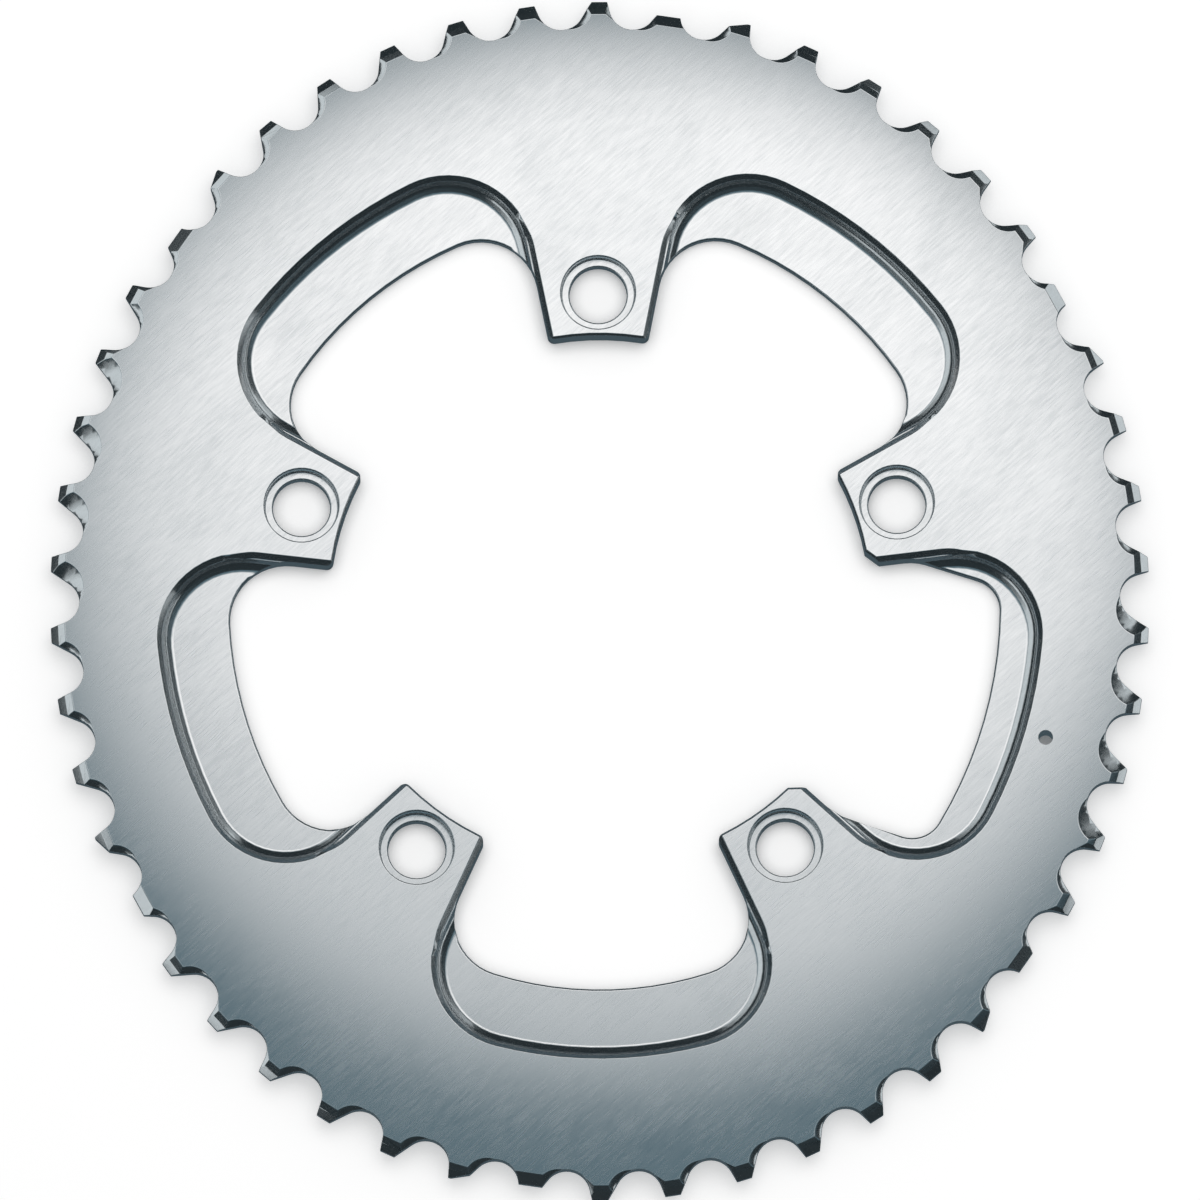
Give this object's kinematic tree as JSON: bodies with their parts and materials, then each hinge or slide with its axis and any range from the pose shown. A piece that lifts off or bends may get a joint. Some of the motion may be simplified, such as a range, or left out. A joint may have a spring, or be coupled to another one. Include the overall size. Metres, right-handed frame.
{
  "type": "bicycle chainring",
  "caption": "Flat oval toothed ring with inward bolt tabs, counterbored bolt holes and stepped windows; bolts to a crank and drives a bicycle chain.",
  "frame": {"origin": "centre of the bolt circle on the rear face, which the ring lies on", "axes": "+Z from the rear face towards the front face, +Y along the long axis of the oval through one bolt hole"},
  "size_m": [0.1928, 0.2152, 0.0045],
  "materials": {
    "satin_aluminium": "satin, finely lapped face"
  },
  "bodies": {
    "root": {"chainring": "satin_aluminium"}
  },
  "joints": []
}
